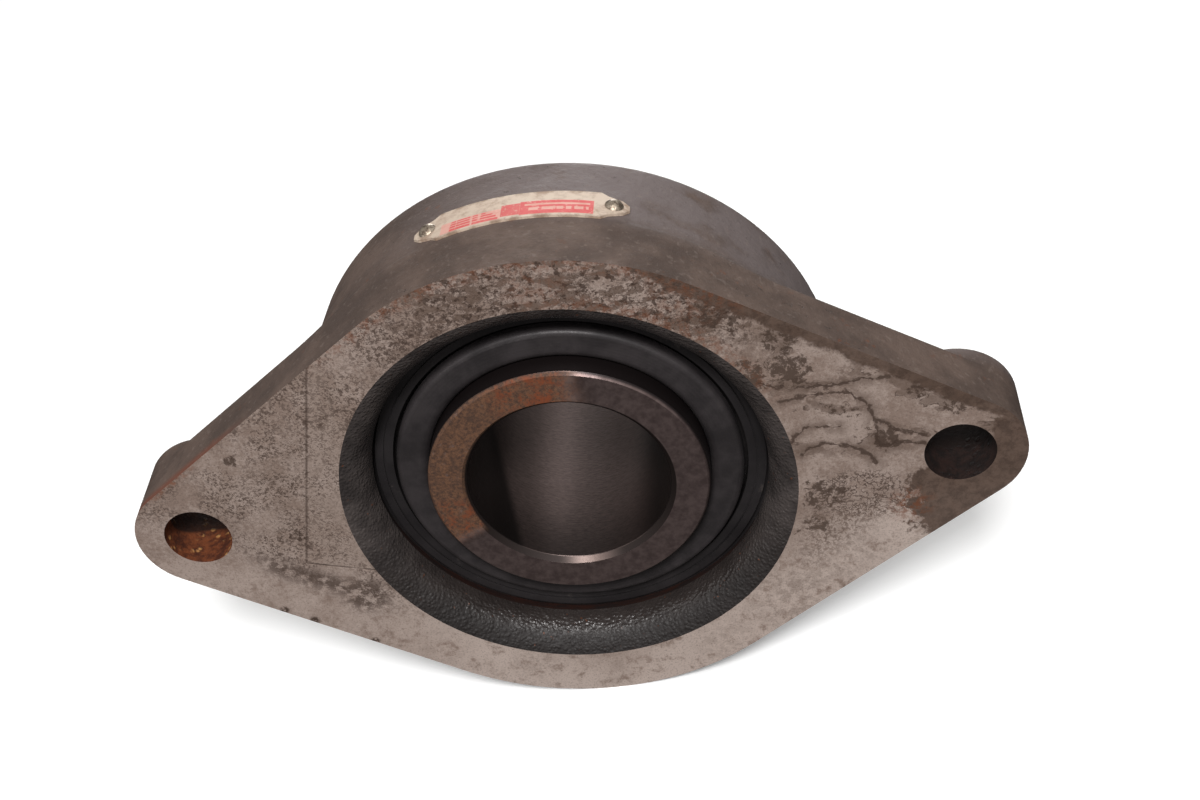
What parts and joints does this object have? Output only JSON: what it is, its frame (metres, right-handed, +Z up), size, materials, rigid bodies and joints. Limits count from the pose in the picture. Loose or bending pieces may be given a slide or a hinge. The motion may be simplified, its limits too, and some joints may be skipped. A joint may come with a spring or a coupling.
{
  "type": "flange mount bearing",
  "caption": "Drop-shaped bolted flange unit that carries a shaft end in a swivelling ball bearing insert with set screw locking and grease nipple.",
  "frame": {"origin": "centre of the shaft bore on the plane of the mounting face, midway between the bolt holes", "axes": "+X along the line through the bolt holes, +Y along the shaft from the mounting face towards the barrel's nose, +Z up; the mounting face looks along -Y"},
  "size_m": [0.1678, 0.0528, 0.1054],
  "materials": {
    "cast_housing": "grey iron, as-cast with a machined mounting face, patinated",
    "plate": "thin printed plate, aged",
    "small_steel": "drawn steel",
    "plated_steel": "zinc plated, turned",
    "ball_steel": "polished bearing steel",
    "black_ring": "black oxide, turned",
    "ground_ring": "ground bearing steel with light rust",
    "black_screw": "black oxide",
    "pressed_steel": "pressed sheet steel",
    "seal_rubber": "moulded nitrile rubber",
    "dark_flinger": "dark semi-matt pressed sheet"
  },
  "bodies": {
    "housing": {"housing": "cast_housing", "name_plate": "plate", "drive_screw_left": "small_steel", "drive_screw_right": "small_steel", "grease_fitting": "plated_steel", "grease_spring": "small_steel"},
    "locking_pin": {"locking_pin": "small_steel"},
    "outer_race": {"outer_ring": "black_ring", "seal_shell_rear": "pressed_steel", "seal_shell_front": "pressed_steel", "seal_lip_rear": "seal_rubber", "seal_lip_front": "seal_rubber"},
    "inner_race": {"inner_ring": "ground_ring", "flinger_rear": "dark_flinger", "flinger_front": "dark_flinger"},
    "cage": {"cage_front": "pressed_steel", "cage_rear": "pressed_steel", "cage_rivets": "small_steel"},
    "ball_1": {"ball_1": "ball_steel"},
    "ball_2": {"ball_2": "ball_steel"},
    "ball_3": {"ball_3": "ball_steel"},
    "ball_4": {"ball_4": "ball_steel"},
    "ball_5": {"ball_5": "ball_steel"},
    "ball_6": {"ball_6": "ball_steel"},
    "ball_7": {"ball_7": "ball_steel"},
    "ball_8": {"ball_8": "ball_steel"},
    "ball_9": {"ball_9": "ball_steel"},
    "set_screw_1": {"set_screw_1": "black_screw"},
    "set_screw_2": {"set_screw_2": "black_screw"},
    "check_ball": {"grease_check_ball": "ball_steel"}
  },
  "joints": [
    {"name": "insert_swivel", "type": "hinge", "parent": "housing", "child": "locking_pin", "pos_m": [0, 0.022, 0], "axis": [0, 0, 1], "range_deg": [-5, 5]},
    {"name": "insert_tilt", "type": "hinge", "parent": "locking_pin", "child": "outer_race", "pos_m": [0, 0.022, 0], "axis": [1, 0, 0], "range_deg": [-5, 5]},
    {"name": "shaft_spin", "type": "hinge", "parent": "outer_race", "child": "inner_race", "pos_m": [0, 0.022, 0], "axis": [0, 1, 0], "continuous": true},
    {"name": "cage_spin", "type": "hinge", "parent": "outer_race", "child": "cage", "pos_m": [0, 0.022, 0], "axis": [0, 1, 0], "continuous": true},
    {"name": "ball_1_spin", "type": "hinge", "parent": "cage", "child": "ball_1", "pos_m": [0, 0.022, 0.03], "axis": [0, 1, 0], "continuous": true},
    {"name": "ball_2_spin", "type": "hinge", "parent": "cage", "child": "ball_2", "pos_m": [0.01928, 0.022, 0.02298], "axis": [0, 1, 0], "continuous": true},
    {"name": "ball_3_spin", "type": "hinge", "parent": "cage", "child": "ball_3", "pos_m": [0.02954, 0.022, 0.00521], "axis": [0, 1, 0], "continuous": true},
    {"name": "ball_4_spin", "type": "hinge", "parent": "cage", "child": "ball_4", "pos_m": [0.02598, 0.022, -0.015], "axis": [0, 1, 0], "continuous": true},
    {"name": "ball_5_spin", "type": "hinge", "parent": "cage", "child": "ball_5", "pos_m": [0.01026, 0.022, -0.02819], "axis": [0, 1, 0], "continuous": true},
    {"name": "ball_6_spin", "type": "hinge", "parent": "cage", "child": "ball_6", "pos_m": [-0.01026, 0.022, -0.02819], "axis": [0, 1, 0], "continuous": true},
    {"name": "ball_7_spin", "type": "hinge", "parent": "cage", "child": "ball_7", "pos_m": [-0.02598, 0.022, -0.015], "axis": [0, 1, 0], "continuous": true},
    {"name": "ball_8_spin", "type": "hinge", "parent": "cage", "child": "ball_8", "pos_m": [-0.02954, 0.022, 0.00521], "axis": [0, 1, 0], "continuous": true},
    {"name": "ball_9_spin", "type": "hinge", "parent": "cage", "child": "ball_9", "pos_m": [-0.01928, 0.022, 0.02298], "axis": [0, 1, 0], "continuous": true},
    {"name": "set_screw_1_travel", "type": "slide", "parent": "inner_race", "child": "set_screw_1", "axis": [0.866, 0, -0.5], "range_m": [-0.003, 0.0012]},
    {"name": "set_screw_2_travel", "type": "slide", "parent": "inner_race", "child": "set_screw_2", "axis": [-0.866, 0, -0.5], "range_m": [-0.003, 0.0012]},
    {"name": "check_ball_travel", "type": "slide", "parent": "housing", "child": "check_ball", "axis": [1, 0, 0], "range_m": [0, 0.001], "stiffness_N_per_m": 100, "springref_m": -0.001, "deforming": ["grease_spring"]}
  ],
  "couplings": [
    {"joint": "cage_spin", "follows": "shaft_spin", "ratio": 0.40078},
    {"joint": "ball_1_spin", "follows": "shaft_spin", "ratio": -2.4205},
    {"joint": "ball_2_spin", "follows": "shaft_spin", "ratio": -2.4205},
    {"joint": "ball_3_spin", "follows": "shaft_spin", "ratio": -2.4205},
    {"joint": "ball_4_spin", "follows": "shaft_spin", "ratio": -2.4205},
    {"joint": "ball_5_spin", "follows": "shaft_spin", "ratio": -2.4205},
    {"joint": "ball_6_spin", "follows": "shaft_spin", "ratio": -2.4205},
    {"joint": "ball_7_spin", "follows": "shaft_spin", "ratio": -2.4205},
    {"joint": "ball_8_spin", "follows": "shaft_spin", "ratio": -2.4205},
    {"joint": "ball_9_spin", "follows": "shaft_spin", "ratio": -2.4205}
  ]
}
